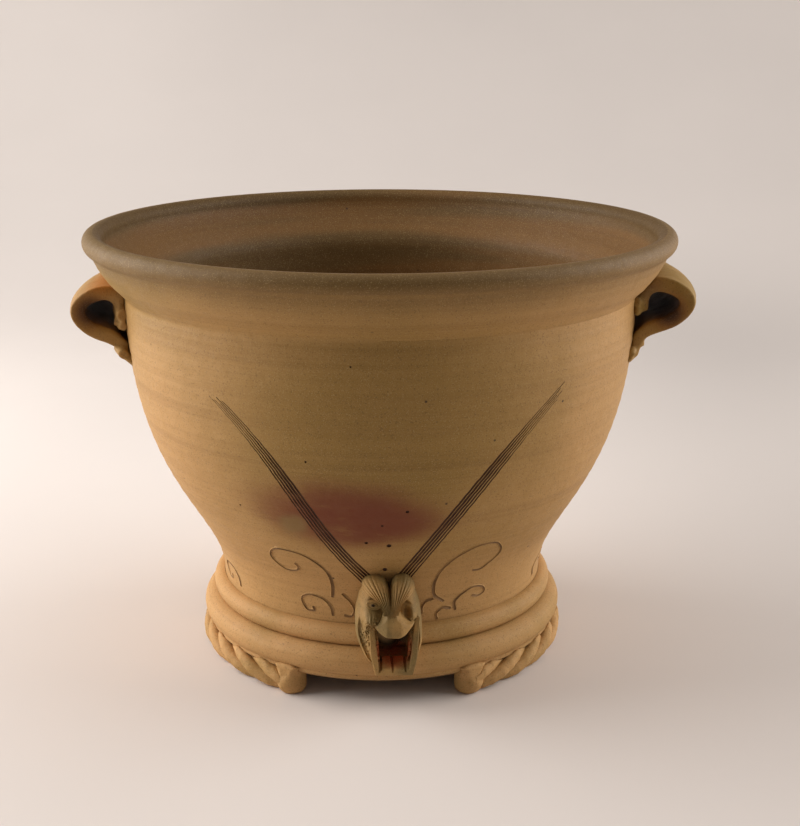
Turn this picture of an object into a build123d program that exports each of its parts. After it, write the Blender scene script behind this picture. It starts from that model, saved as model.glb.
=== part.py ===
from build123d import *
import math
import os

# Bowl planter: a thrown bowl on a foot ring, with a coil round its waist, two curled
# strap handles, three rope feet and a grotesque mask whose mouth drains the bowl.
# Millimetres. The origin is on the ground under the middle of the bowl, +Z is up,
# the mask faces -Y and the handles stand out along X.

# Fit of the luted pieces: flat faces touch, curved faces keep this slip joint
joint_gap = 0.3

# Foot ring
ring_under = 15.5          # ground to the ring's flat underside
ledge_thickness = 10.5     # the ledge inside the ring that carries the bowl
ledge_radius = 96.0        # open middle of the ledge
ring_rise = 22.5           # underside to the flat top
ring_radius = 129.0        # outermost reach of the ring's round roll
roll_radius = 10.0
roll_sweep = 145           # degrees of the roll, from its top round to the skirt
skirt_radius = 125.0       # lower edge under the roll
skirt_bevel = 2.0

# Coil round the waist
coil_rise = 13.4
coil_bulge = 7.4
coil_crown = 0.46          # height of the furthest bulge, as a share of the rise
coil_foot = 4.0            # flat that the coil presses on the ring

# Bowl
waist_radius = 114.0
belly_height = 204.6       # waist to shoulder
belly_low_pull = 54.0      # how far the belly's curve runs straight up from the waist
belly_high_pull = 136.5    # and straight down from the shoulder
shoulder_radius = 175.4
collar_step = 3.2          # ledge between the belly and the collar
collar_step_rise = 3.8
collar_rise = 35.8         # shoulder to the middle of the rolled rim
collar_sag = 1.9           # hollow of the flared collar
collar_inside_pull = 13.0  # how far the inside of the collar bends on its way to the belly
rim_radius = 201.0         # outermost reach of the rolled rim
rim_roll = 6.7             # radius of the rolled rim
rim_roll_start = -75       # degrees, from straight outwards, where the roll leaves the collar
rim_roll_sweep = 272
wall = 9.5
belly_wall_shift = 6.0     # keeps the sloping wall as thick as the upright wall
floor_thickness = 10.0
floor_corner = 14.0

# Strap handles: the strap leaves the wall, curls over a finger's width and comes back
strap_thickness = 8.0
strap_width = 90.0         # along the wall
left_loop_reach = 31.6     # wall to the strap's middle line
right_loop_reach = 35.2
left_loop_lift = 2.8       # shoulder to the strap's middle line at the crest
right_loop_lift = 9.4
loop_height = 31.5         # crest to the start of the lower joint
left_end_drop = 26.0       # crest to the upper end, pressed on the wall
right_end_drop = 20.0
strap_tail = 19.0          # lower joint to the thumbed tail
strap_bed = 1.8            # how deep the ends are pressed before they follow the wall
# The curl between its joints: share of the reach, share of the height down from the crest
strap_curl = ((0.58, 0.0), (1.0, 0.36), (0.72, 0.78), (0.28, 1.0))

# Rope feet: four strands twisted together, pressed under the ring
foot_span = 70.0           # degrees of the ring that one foot takes, with its toes
rope_ring_radius = 120.0
rope_middle = 10.0         # height of the rope's middle line
strand_count = 4
strand_radius = 4.3
strand_lay = 98.0          # length of one full twist
strand_sides = 12
strand_steps = 18
strand_lap = 6.3           # strand's middle line from the rope's
toe_radius = 9.2
toe_flat = 5.0             # radius of the flat that stands on the ground
toe_round = 6.0
toe_neck = 10.5            # height where the toe starts to spread
toe_flare = 1.8
pat_back = 0.4             # the rope and its toes are patted back from the roll's reach

# Mask and drain. The face is drawn as seen from the front, about the drain's middle.
mask_turn = 2.4            # degrees that the mask sits off the front, towards +X
slab_least = 3.0           # thickness of the slab over the ring's roll
slab_depth = 34.0          # far enough back to reach the bowl's wall
slab_edge = 1.6
drain_radius = 8.0
drain_sill = 1.0           # bowl's floor to the drain's lowest point
throat_width = 21.0
throat_height = 22.0
throat_corner = 6.0
throat_rise = 1.0          # drain's middle to the throat's middle
mouth_offset = 3.6         # the mouth sits a little to the right of the mask's middle
mouth_left_corner = 2.2    # muzzle's side to the corner of the mouth
mouth_right_corner = 3.4
mouth_lip_in = 0.5         # the mouth narrows a little to the lip of the scoop
jaw_left_cheek = 3.3
jaw_right_cheek = 3.1
jaw_cheek_foot = 4.3       # cheek at the height of the ring's roll
jaw_cheek_turn = -4.0
jaw_depth = 12.0
jaw_top = 20.0
jaw_cheek_slope = 0.35     # depth of the cheeks' upper ends, as a share of the jaw's
jaw_ramp_fall = 1.0        # the floor starts this much over the drain's lowest point
jaw_ramp_drop = 4.7        # fall of the scoop's floor from the throat to the lip
jaw_lip = 3.8              # thickness of the floor at the lip
jaw_lip_rim = 2.0          # cheeks over the floor at the lip
jaw_chin = 3.0             # how far the chin falls back under the lip
jaw_slot_count = 3
jaw_slot_width = 1.6
jaw_slot_depth = 2.6
jaw_slot_spacing = 8.4
jaw_slot_shift = -1.0      # the slots' middle, from the mouth's
brow_flutes = 7
flute_bulge = 0.06         # how far each flute swells, as a share of the brow
muzzle_depth = 17.0
muzzle_width = 21.0
muzzle_height = 12.0
muzzle_corner = 4.0
muzzle_across = 3.4
muzzle_up = 18.0
# The muzzle's cross-sections: share of its depth, share of its size and fall
muzzle_places = ((0, 1, 0), (0.6, 0.86, 0.6), (1, 0.55, 1.8))
brow_clear = 0.5           # muzzle's top to the foot of the brows
# A brow's cross-sections: across, up from its foot, half width, lean in degrees and swell
left_brow_places = (
    (-0.6, 0.0, 2.0, 0, 5.5),
    (-2.2, 7.5, 3.2, -17, 7.5),
    (-6.5, 15.0, 7.0, -30, 9.0),
    (-9.5, 20.0, 6.6, -30, 7.0),
    (-10.8, 22.5, 3.5, -30, 2.0),
)
right_brow_places = (
    (4.3, 0.0, 2.0, 0, 5.5),
    (5.7, 7.0, 3.5, 17, 7.5),
    (9.0, 14.0, 7.0, 26, 9.0),
    (11.2, 19.5, 6.0, 26, 7.0),
    (12.2, 22.0, 3.2, 26, 2.0),
)
eye_across = -9.4
eye_up = 4.1               # from the foot of the brows
eye_radius = 3.2
pupil_radius = 1.3
eye_depth = 2.6
# The slab's edge, from the drain's middle
slab_outline = (
    (3.5, -21.2), (13.8, -18.4), (20.0, -11.0), (22.6, 5.0), (21.5, 22.0), (17.5, 37.0), (9.0, 47.5),
    (0.8, 44.0), (-8.0, 47.5), (-15.8, 39.0), (-20.3, 28.0), (-21.4, 14.5), (-17.2, -6.0), (-9.0, -18.4),
)

# Heights that follow from the sizes above
floor_under = ring_under + ledge_thickness
floor_top = floor_under + floor_thickness
skirt_rise = ring_rise - roll_radius + roll_radius * math.cos(math.radians(roll_sweep))
ring_top = ring_under + ring_rise
waist_height = ring_top + coil_rise
shoulder_height = waist_height + belly_height
rim_middle = Vector(rim_radius - rim_roll, shoulder_height + collar_rise)
drain_height = floor_top + drain_sill + drain_radius
mask_face = ring_radius + slab_least
brow_foot = muzzle_up + muzzle_height / 2 + brow_clear


def polar(radius, degrees):
    """Point at a radius from the axis, with degrees turned from the front towards +X."""
    turn = math.radians(degrees)
    return Vector(radius * math.sin(turn), -radius * math.cos(turn), 0)


def turned(profile_edges):
    """Solid of revolution about the bowl's axis, from a function that draws its section."""
    with BuildPart() as part:
        with BuildSketch(Plane.XZ):
            with BuildLine():
                profile_edges()
            make_face()
        revolve(axis=Axis.Z)
    return part.part


def belly_line(gap):
    """The belly's outer line, from the waist up to the shoulder."""
    foot = waist_radius + gap
    shoulder = shoulder_radius + gap
    return Bezier(
        (foot, waist_height),
        (foot, waist_height + belly_low_pull),
        (shoulder, shoulder_height - belly_high_pull),
        (shoulder, shoulder_height),
    )


def wall_radius(height):
    """Radius of the bowl's outer wall at a height on its belly."""
    belly = belly_line(0)
    low, high = 0.0, 1.0
    while high - low > 1e-4:
        middle = (low + high) / 2
        if (belly @ middle).Y < height:
            low = middle
        else:
            high = middle
    return (belly @ low).X


def bowl_outside(gap):
    """Draws the bowl's outer line from the axis under the floor to the inside of the rim."""
    belly = belly_line(gap)
    shoulder = (belly @ 1).X
    Polyline((0, floor_under), ((belly @ 0).X, floor_under), belly @ 0)
    step = Line(belly @ 1, (shoulder + collar_step, shoulder_height + collar_step_rise))
    rim = CenterArc(rim_middle, rim_roll + gap, rim_roll_start, rim_roll_sweep)
    flare_middle = (step @ 1 + rim @ 0) / 2
    along = (rim @ 0 - step @ 1).normalized()
    hollow = Vector(along.Y, -along.X, 0) * collar_sag
    ThreePointArc(step @ 1, flare_middle + hollow, rim @ 0)
    return rim


def bowl_section():
    """The thrown bowl: floor, belly, stepped collar and rolled rim."""
    rim = bowl_outside(0)
    inner_foot = waist_radius - wall
    inner_shoulder = shoulder_radius - wall
    lip = rim @ 1
    collar = Bezier(
        lip,
        lip - Vector(0.3, 1) * collar_inside_pull,
        (inner_shoulder, shoulder_height + collar_inside_pull),
        (inner_shoulder, shoulder_height),
    )
    belly = Bezier(
        collar @ 1,
        (inner_shoulder, shoulder_height - belly_high_pull + belly_wall_shift),
        (inner_foot, floor_top + floor_corner + belly_low_pull + belly_wall_shift),
        (inner_foot, floor_top + floor_corner),
    )
    corner = JernArc(belly @ 1, (0, -1), floor_corner, -90)
    Polyline(corner @ 1, (0, floor_top), (0, floor_under))


def bowl_envelope():
    """Everything inside the bowl's outer line, grown by the slip joint."""
    rim = bowl_outside(joint_gap)
    Polyline(rim @ 1, (0, (rim @ 1).Y), (0, floor_under))


def ring_outside(gap):
    """Draws the ring's outer line from its underside up to its flat top."""
    roll_middle = Vector(ring_radius - roll_radius, ring_top - roll_radius)
    roll = CenterArc(roll_middle, roll_radius + gap, 90, -roll_sweep)
    skirt = Line(roll @ 1, (skirt_radius + gap, ring_under + skirt_bevel))
    bevel = Line(skirt @ 1, (skirt_radius - skirt_bevel + gap, ring_under))
    return roll @ 0, bevel @ 1


def ring_section():
    """The foot ring: outer roll, skirt and the ledge that the bowl stands on."""
    top, bottom = ring_outside(0)
    seat = waist_radius + joint_gap
    Polyline(
        bottom,
        (ledge_radius, ring_under),
        (ledge_radius, floor_under),
        (seat, floor_under),
        (seat, ring_top),
        top,
    )


def ring_envelope():
    top, bottom = ring_outside(joint_gap)
    Polyline(bottom, (0, ring_under), (0, top.Y), top)


def coil_outside(gap):
    """Draws the coil's round back, from its foot on the ring up to the bowl's wall."""
    inner = waist_radius + joint_gap
    foot = (inner + coil_foot + gap, ring_top)
    back = (inner + coil_bulge + gap, ring_top + coil_crown * coil_rise)
    tip = (inner, waist_height + gap)
    return ThreePointArc(foot, back, tip)


def coil_section():
    back = coil_outside(0)
    Polyline(back @ 1, (waist_radius + joint_gap, ring_top), back @ 0)


def coil_envelope():
    back = coil_outside(joint_gap)
    Polyline(back @ 1, (0, (back @ 1).Y), (0, ring_top), back @ 0)


def drain_bore():
    """The round hole from the bowl's floor to the mask's mouth."""
    bore = Cylinder(drain_radius, mask_face, align=(Align.CENTER, Align.CENTER, Align.MIN))
    bore = Pos(0, -waist_radius / 2, drain_height) * Rot(90, 0, 0) * bore
    return Rot(0, 0, mask_turn) * bore


def strap_handle(reach, lift, end_drop, bowl_cut):
    """A strap curled over from the wall and back, on the +X side."""
    crest = shoulder_height + lift
    joint = crest - loop_height
    half = strap_thickness / 2
    upper_end = (wall_radius(crest - end_drop) + half - strap_bed, crest - end_drop)
    tail_end = (wall_radius(joint - strap_tail) + half - strap_bed, joint - strap_tail)
    curl = [(shoulder_radius + out * reach, crest - down * loop_height) for out, down in strap_curl]
    with BuildPart() as part:
        with BuildSketch(Plane.XZ):
            with BuildLine() as middle:
                Spline(upper_end, *curl, tail_end)
            trace(middle.line, line_width=strap_thickness)
        span = math.degrees(strap_width / shoulder_radius)
        revolve(axis=Axis.Z, revolution_arc=span)
    return Rot(0, 0, -span / 2) * part.part - bowl_cut


def toe(degrees, gap):
    """The thumbed knob at a rope's end, spread out where it meets the ring."""
    top = ring_under + skirt_rise
    side = toe_radius + gap
    with BuildPart() as knob:
        with BuildSketch(Plane.XZ):
            with BuildLine():
                Line((0, 0), (toe_flat, 0))
                Bezier((toe_flat, 0), (side, 0), (side, toe_round))
                Line((side, toe_round), (side, toe_neck))
                Bezier((side, toe_neck), (side, top), (side + toe_flare, top))
                Polyline((side + toe_flare, top), (0, top), (0, 0))
            make_face()
        revolve(axis=Axis.Z)
    reach = Cylinder(ring_radius - pat_back + gap, 2 * top)
    return Pos(polar(rope_ring_radius, degrees)) * knob.part & reach


def strand(start, end, number, hand):
    """One strand of a rope: a round coil laid round the rope's middle line."""
    length = rope_ring_radius * math.radians(end - start)
    sections = []
    for step in range(strand_steps):
        share = step / (strand_steps - 1)
        degrees = start + (end - start) * share
        lay = 360 * number / strand_count + hand * 360 * length * share / strand_lay
        outward = polar(1, degrees)
        lift = strand_lap * math.sin(math.radians(lay))
        out = rope_ring_radius + strand_lap * math.cos(math.radians(lay))
        middle = outward * out + Vector(0, 0, rope_middle + lift)
        along = Vector(0, 0, 1).cross(outward)
        place = Plane(origin=middle, x_dir=outward, z_dir=along)
        sections.append(place * RegularPolygon(strand_radius, strand_sides))
    return loft(sections, ruled=True)


def above_ground(piece):
    """Cuts the piece flat where it stands."""
    reach = 2 * ring_radius
    ground = Box(reach, reach, rope_middle, align=(Align.CENTER, Align.CENTER, Align.MAX))
    return piece - ground


def on_face(across, up, distance=0.0):
    """Plane on the mask, from the drain's middle, at a distance in front of the slab."""
    middle = (across, -mask_face - distance, drain_height + up)
    return Plane(origin=middle, x_dir=(1, 0, 0), z_dir=(0, -1, 0))


def seen_from_front(outline, back, depth):
    """Prism of an outline on the mask, from a distance behind or before the slab's front."""
    return extrude(on_face(0, 0, back) * make_face(outline), depth)


def seen_from_side(outline):
    """Prism of an outline of distance before the slab's front and height, across the mask."""
    side = Plane(origin=on_face(0, 0).origin, x_dir=(0, -1, 0), z_dir=(-1, 0, 0))
    return extrude(side * make_face(outline), 2 * throat_width, both=True)


def mask_slab():
    """The slab that carries the face, pressed on the ring, the coil and the wall."""
    outline = Spline(*slab_outline, periodic=True)
    slab = seen_from_front(outline, -slab_depth, slab_depth)
    front = slab.faces().sort_by(Axis.Y)[0]
    slab = chamfer(front.edges(), slab_edge)
    throat = RectangleRounded(throat_width, throat_height, throat_corner)
    hole = extrude(on_face(mouth_offset, throat_rise, -slab_depth) * throat, 2 * slab_depth)
    return slab - hole


def jaw():
    """The scoop under the mouth: a floor that slopes out between two cheeks, with slots."""
    ramp_top = jaw_ramp_fall - drain_radius
    lip_top = ramp_top - jaw_ramp_drop
    chin = lip_top - jaw_lip - jaw_chin
    left = mouth_offset - throat_width / 2
    right = mouth_offset + throat_width / 2
    left_corner = muzzle_across - muzzle_width / 2 - mouth_left_corner
    right_corner = muzzle_across + muzzle_width / 2 + mouth_right_corner
    outline = Polyline(
        (left_corner - jaw_left_cheek, jaw_top),
        (left - jaw_cheek_foot, jaw_cheek_turn),
        (left - mouth_lip_in, chin),
        (right + mouth_lip_in, chin),
        (right + jaw_cheek_foot, jaw_cheek_turn),
        (right_corner + jaw_right_cheek, jaw_top),
        close=True,
    )
    side = Polyline(
        (0, chin),
        (jaw_depth, chin + jaw_chin),
        (jaw_depth, lip_top + jaw_lip_rim),
        (jaw_cheek_slope * jaw_depth, jaw_top),
        (0, jaw_top),
        close=True,
    )
    scoop = seen_from_front(outline, 0, jaw_depth) & seen_from_side(side)
    over = jaw_top + 1
    mouth = Polyline(
        (left_corner, over),
        (left + mouth_lip_in, lip_top - 1),
        (right - mouth_lip_in, lip_top - 1),
        (right_corner, over),
        close=True,
    )
    past_lip = jaw_depth + 1
    ramp = Polyline(
        (-1, ramp_top), (jaw_depth, lip_top), (past_lip, lip_top), (past_lip, over), (-1, over), close=True
    )
    scoop -= seen_from_front(mouth, -1, jaw_depth + 2) & seen_from_side(ramp)
    slot_floor = Polyline(
        (-1, ramp_top), (past_lip, lip_top - jaw_slot_depth), (past_lip, over), (-1, over), close=True
    )
    for n in range(jaw_slot_count):
        across = mouth_offset + jaw_slot_shift + (n - (jaw_slot_count - 1) / 2) * jaw_slot_spacing
        slot = extrude(on_face(across, 0, -1) * Rectangle(jaw_slot_width, 2 * over), jaw_depth + 2)
        scoop -= slot & seen_from_side(slot_floor)
    return scoop


def muzzle():
    """The blunt snout over the mouth, narrower and lower towards its tip."""
    sections = []
    for share, size, fall in muzzle_places:
        outline = RectangleRounded(size * muzzle_width, size * muzzle_height, size * muzzle_corner)
        sections.append(on_face(muzzle_across, muzzle_up - fall, share * muzzle_depth) * outline)
    return loft(sections, ruled=True)


def brow(places):
    """A shell of clay over the eye, fluted like a scallop, that narrows towards the snout."""
    sections = []
    for across, up, half_width, lean, swell in places:
        turn = math.radians(lean)
        run = Vector(math.sin(turn), 0, math.cos(turn))
        side = Vector(-math.cos(turn), 0, math.sin(turn))
        valley = []
        crown = []
        for n in range(2 * brow_flutes + 1):
            angle = math.pi * n / (2 * brow_flutes)
            grow = 1 + flute_bulge * (n % 2)
            point = (grow * half_width * math.cos(angle), grow * swell * math.sin(angle))
            (crown if n % 2 else valley).append(point)
        arcs = [ThreePointArc(valley[n], crown[n], valley[n + 1]) for n in range(brow_flutes)]
        outline = arcs + [Line(valley[-1], valley[0])]
        place = Plane(origin=on_face(across, brow_foot + up).origin, x_dir=side, z_dir=run)
        sections.append(place * make_face(Wire(outline)))
    return loft(sections, ruled=True)


def eye():
    """The ringed eye under the left brow."""
    ring = Circle(eye_radius) - Circle(pupil_radius)
    return extrude(on_face(eye_across, brow_foot + eye_up) * ring, eye_depth)


def save(name, piece):
    """Writes one named sub-part, with its size for the eye."""
    export_step(piece, f"parts/{name}.step")
    size = piece.bounding_box().size
    print(f"{name}: {len(piece.solids())} solid, {size.X:.1f} x {size.Y:.1f} x {size.Z:.1f}")


def save_pot(bore):
    save("bowl", turned(bowl_section) - bore)
    save("foot_ring", turned(ring_section) - bore)
    save("waist_coil", turned(coil_section) - bore)


def save_handles(bowl_cut):
    right = strap_handle(right_loop_reach, right_loop_lift, right_end_drop, bowl_cut)
    left = strap_handle(left_loop_reach, left_loop_lift, left_end_drop, bowl_cut)
    save("right_handle", right)
    save("left_handle", mirror(left, Plane.YZ))


def save_foot(name, middle, hand, ring_cut):
    """One foot: its strands, twisted by one hand or the other, between two toes."""
    reach = foot_span / 2
    inset = math.degrees(toe_radius / rope_ring_radius)
    ends = (middle - reach + inset, middle + reach - inset)
    for side, end in zip(("first", "second"), ends):
        save(f"{name}_foot_{side}_toe", toe(end, 0) - ring_cut)
    clear = [ring_cut] + [toe(end, joint_gap) for end in ends]
    for number in range(strand_count):
        piece = strand(ends[0], ends[1], number, hand)
        for other in clear:
            piece = piece - other
        save(f"{name}_foot_strand_{number + 1}", above_ground(piece))


def save_mask(pot_cuts):
    slab = mask_slab()
    for cut in pot_cuts:
        slab = slab - cut
    pieces = {
        "mask_slab": slab,
        "mask_jaw": jaw(),
        "mask_muzzle": muzzle(),
        "mask_left_brow": brow(left_brow_places),
        "mask_right_brow": brow(right_brow_places),
        "mask_left_eye": eye(),
    }
    for name, piece in pieces.items():
        save(name, Rot(0, 0, mask_turn) * piece)


def main():
    os.makedirs("parts", exist_ok=True)
    bore = drain_bore()
    bowl_cut = turned(bowl_envelope)
    ring_cut = turned(ring_envelope)
    coil_cut = turned(coil_envelope)
    save_pot(bore)
    save_handles(bowl_cut)
    for name, middle, hand in (("left", -60, -1), ("right", 60, 1), ("rear", 180, 1)):
        save_foot(name, middle, hand, ring_cut)
    save_mask((bowl_cut, ring_cut, coil_cut))


if __name__ == "__main__":
    main()
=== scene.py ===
import math

import bpy
import numpy as np
from bpy.props import FloatProperty, FloatVectorProperty, IntProperty, PointerProperty
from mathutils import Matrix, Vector, noise
from mathutils.bvhtree import BVHTree


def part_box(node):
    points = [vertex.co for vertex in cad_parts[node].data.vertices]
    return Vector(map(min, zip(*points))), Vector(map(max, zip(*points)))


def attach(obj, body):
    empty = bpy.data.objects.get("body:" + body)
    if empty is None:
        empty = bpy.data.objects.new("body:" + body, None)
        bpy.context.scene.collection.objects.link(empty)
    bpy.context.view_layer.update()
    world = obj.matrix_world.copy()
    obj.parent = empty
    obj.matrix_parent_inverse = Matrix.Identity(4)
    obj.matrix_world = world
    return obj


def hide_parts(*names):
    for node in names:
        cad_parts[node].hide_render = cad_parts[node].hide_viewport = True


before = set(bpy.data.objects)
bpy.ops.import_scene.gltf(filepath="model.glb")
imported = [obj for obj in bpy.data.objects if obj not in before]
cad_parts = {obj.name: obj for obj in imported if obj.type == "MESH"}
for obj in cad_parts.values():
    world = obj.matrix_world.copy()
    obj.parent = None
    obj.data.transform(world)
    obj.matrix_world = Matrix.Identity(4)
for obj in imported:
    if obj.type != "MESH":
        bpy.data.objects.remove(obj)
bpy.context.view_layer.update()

bl_info = {
    "name": "Bowl planter finish",
    "version": (1, 0, 0),
    "blender": (4, 5, 0),
    "location": "View3D > Sidebar > Planter",
    "description": "Throws, combs, models and fires a bowl planter round its packed frame",
    "category": "Add Mesh",
}

MM = 0.001

# Where rays towards the bowl's wall start, from its axis
OUTSIDE = 0.5

# Combed lines of the V and incised scrolls on the wall: turn in degrees from the front, height in mm
LEFT_COMB = (
    (-36.8, 218.5), (-29.4, 199.0), (-24.0, 179.5), (-19.9, 160.0), (-16.4, 140.5), (-12.8, 121.0),
    (-8.3, 101.5), (-2.1, 82.0),
)
RIGHT_COMB = (
    (42.5, 221.5), (34.8, 201.6), (28.6, 181.6), (23.5, 161.7), (19.0, 141.8), (14.8, 121.9),
    (10.5, 101.9), (5.6, 82.0),
)
SCROLLS = {
    "left_large": (
        (-15.3, 70.0), (-14.6, 80.0), (-15.2, 90.0), (-17.5, 98.0), (-23.4, 106.1), (-29.0, 106.7),
        (-32.2, 101.3),
        (-31.7, 92.9), (-28.5, 88.6), (-25.7, 89.2), (-24.3, 92.5), (-25.0, 95.7),
    ),
    "left_small": (
        (-15.5, 55.8), (-16.2, 63.0), (-19.5, 69.0), (-23.0, 70.2), (-25.8, 67.5), (-25.8, 61.3),
        (-24.1, 57.8),
        (-22.2, 58.1), (-22.5, 61.0),
    ),
    "left_hook": ((-11.9, 74.0), (-9.2, 67.2), (-8.3, 60.0), (-9.7, 56.5), (-11.7, 57.2)),
    "right_large": (
        (21.4, 65.2), (17.8, 71.2), (17.1, 77.2), (17.4, 85.6), (19.5, 96.3), (23.6, 105.2), (28.2, 109.8),
        (32.7, 109.7), (35.7, 105.2), (36.8, 97.6), (34.4, 91.3), (31.5, 87.0), (29.3, 87.4),
    ),
    "right_small": (
        (25.9, 56.7), (25.3, 63.8), (27.9, 68.9), (31.9, 72.5), (35.4, 70.7), (36.2, 65.5),
        (34.2, 64.3), (31.7, 65.6),
    ),
    "right_bow": ((24.2, 58.9), (21.4, 60.6), (18.9, 56.6), (19.3, 52.6)),
    "right_hook": ((17.6, 68.4), (15.6, 67.8), (14.3, 65.0), (13.8, 57.9)),
}

# Pits in the wall, turn in degrees and height in mm, and the radius of each in mm
PITS = (
    (6.6, 144.4), (0.9, 133.8), (-3.1, 119.6), (2.6, 117.1), (1.6, 96.2), (-15.0, 178.6), (-5.0, 240.4),
    (-34.9, 138.5),
)
PIT_SIZES = (1.1, 0.8, 1.2, 1.5, 1.5, 0.7, 0.6, 0.7)

# The wall's radius in mm at some heights in mm, to space the combed lines evenly
WALL_HEIGHTS = (50, 110, 150, 256)
WALL_RADII = (114, 138, 158, 175)
COMB_POINTS = 48

# Small scrolls repeated round the bowl: which one, and by how many degrees it is turned
REPEATS = (("right_small", (42, 93, 130)), ("left_small", (-42, -93, -130)))
BURR_WIDTH = 0.9
BURR_HEIGHT = 0.7 * MM
BURR_GRAIN = 0.55 * MM

# The bowl's section: steps up the wall and round the rim, and points down the inside
WALL_STEP = 1.9 * MM
ROLL_TURNS = range(-66, 196, 14)
INSIDE_POINTS = 74
RIDGES_FROM = 60 * MM
RIDGES_TO = 285 * MM
DRAIN_CUT = 0.1
DRAIN_MIDDLE = 0.11
SHARP_TURN = 38

# Moves of a tool, in mm, that are tried one after another where a cut goes wrong
HAIRS = (0, 0.02, -0.03, 0.05, -0.07, 0.11)
LEAST_LEFT = 0.6

# Rolls of clay that seat the handles: height, lift off the wall and radius in mm
SEAT_ROLLS = {
    -1: ((214.5, 1.5, 5.6), (210.5, 0.5, 3.4), (219.0, 5.0, 4.8), (238.0, 2.5, 3.8), (245.0, 2.5, 5.0)),
    1: ((214.5, 1.0, 4.2), (219.0, 1.0, 4.2), (247.5, 2.0, 3.4), (253.0, 1.5, 4.6)),
}
SEAT_INSET = 2.5 * MM
SEAT_POINTS = 30
WALL_AT_HANDLES = 0.18

# Middle of each handle's curl, across and up, how far its lining is drawn in, and the height of its tail
CURLS = {-1: (-0.1895, 0.2470), 1: (0.1895, 0.2500)}
LINING = 0.80
LINING_WIDTH = 0.985
TAIL_TOP = 0.221
TAIL_REACH = 13 * MM
TAIL_PRESS = 0.040
LUMP_SIZE = 9 * MM

# Balls of clay on a foot's knob: mm out from its middle, mm up, and the three radii in mm
TOE_BALLS = (
    (1.0, 8.0, (8.6, 8.8, 8.4)),
    (1.5, 15.5, (5.5, 9.5, 4.5)),
    (5.2, 19.0, (2.6, 8.0, 2.6)),
)


class PlanterSizes(bpy.types.PropertyGroup):
    """Sizes of what the hand leaves on the clay."""

    segments: IntProperty(name="Segments", description="Faces round the bowl", default=232, min=24)
    rim_roll: FloatProperty(
        name="Rim roll", description="Radius of the rolled rim", default=6.7 * MM, unit="LENGTH"
    )
    ridge_pitch: FloatProperty(
        name="Throwing ridge", description="Height from one throwing ridge to the next",
        default=9 * MM, unit="LENGTH"
    )
    ridge_height: FloatProperty(
        name="Ridge height", description="How far a throwing ridge stands out",
        default=0.12 * MM, unit="LENGTH"
    )
    comb_teeth: IntProperty(
        name="Comb teeth", description="Lines that one stroke of the comb leaves", default=5, min=1
    )
    comb_pitch: FloatProperty(
        name="Comb pitch", description="Tooth to tooth", default=2.1 * MM, unit="LENGTH"
    )
    comb_depth: FloatProperty(
        name="Comb depth", description="Depth of a combed line", default=0.9 * MM, unit="LENGTH"
    )
    scroll_depth: FloatProperty(
        name="Scroll depth", description="Depth of a scroll", default=0.45 * MM, unit="LENGTH"
    )
    drain_radius: FloatProperty(
        name="Drain", description="Radius of the drain", default=8 * MM, unit="LENGTH"
    )
    drain_height: FloatProperty(
        name="Drain height", description="Drain's middle", default=45 * MM, unit="LENGTH"
    )
    mask_turn: FloatProperty(
        name="Mask turn", description="How far the mask sits off the front",
        default=math.radians(2.4), unit="ROTATION"
    )


class PlanterColours(bpy.types.PropertyGroup):
    """Colours of the fired clay."""

    tan: FloatVectorProperty(
        name="Tan", description="Main colour of the clay", subtype="COLOR",
        default=(0.38, 0.215, 0.066), size=3
    )
    olive: FloatVectorProperty(
        name="Olive", description="Greener, cooler clay", subtype="COLOR",
        default=(0.27, 0.155, 0.030), size=3
    )
    orange: FloatVectorProperty(
        name="Orange", description="Warm toasted clay", subtype="COLOR", default=(0.50, 0.275, 0.100), size=3
    )
    flash: FloatVectorProperty(
        name="Flash", description="Maroon flash low on the front", subtype="COLOR",
        default=(0.16, 0.034, 0.009), size=3
    )
    grey: FloatVectorProperty(
        name="Grey", description="Grey clay of the mask and the rim", subtype="COLOR",
        default=(0.225, 0.142, 0.044), size=3
    )
    ash: FloatVectorProperty(
        name="Ash", description="Dark olive brown of the rim and the inside", subtype="COLOR",
        default=(0.125, 0.068, 0.016), size=3
    )
    # Painted shade: the near-black laid in the mouth's throat, inside the handle holes, under the foot ring
    # and in the eye's pupil
    painted_shade: FloatVectorProperty(
        name="Painted_shade", description="Brown where ash and heat gather", subtype="COLOR",
        default=(0.030, 0.012, 0.005), size=3
    )
    ember: FloatVectorProperty(
        name="Ember", description="Red in the mouth", subtype="COLOR", default=(0.42, 0.060, 0.010), size=3
    )


class PlanterStage(bpy.types.PropertyGroup):
    """Floor, lamps and camera."""

    floor: FloatVectorProperty(
        name="Floor", description="Colour of the floor", subtype="COLOR", default=(0.74, 0.672, 0.632), size=3
    )
    left_lamp: FloatProperty(name="Left lamp", description="Power of the left lamp", default=30, unit="POWER")
    right_lamp: FloatProperty(
        name="Right lamp", description="Power of the right lamp", default=20, unit="POWER"
    )
    top_lamp: FloatProperty(name="Top lamp", description="Power of the top lamp", default=4, unit="POWER")
    back_lamp: FloatProperty(
        name="Back lamp", description="Power of the backdrop's lamp", default=19, unit="POWER"
    )
    sky: FloatProperty(name="Sky", description="Strength of the light from all round", default=0.16)


def finished(obj, slot, material, *nodes):
    """Gives a new piece its clay and its place on the one rigid body."""
    obj.data.materials.clear()
    obj.data.materials.append(material)
    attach(obj, "root")
    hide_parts(*nodes)
    return obj


def dress(node, material):
    """Gives a node of the frame its clay."""
    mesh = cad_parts[node].data
    mesh.materials.clear()
    mesh.materials.append(material)


def select_only(*objs):
    bpy.ops.object.select_all(action="DESELECT")
    for obj in objs:
        obj.select_set(True)
    bpy.context.view_layer.objects.active = objs[0]


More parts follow.
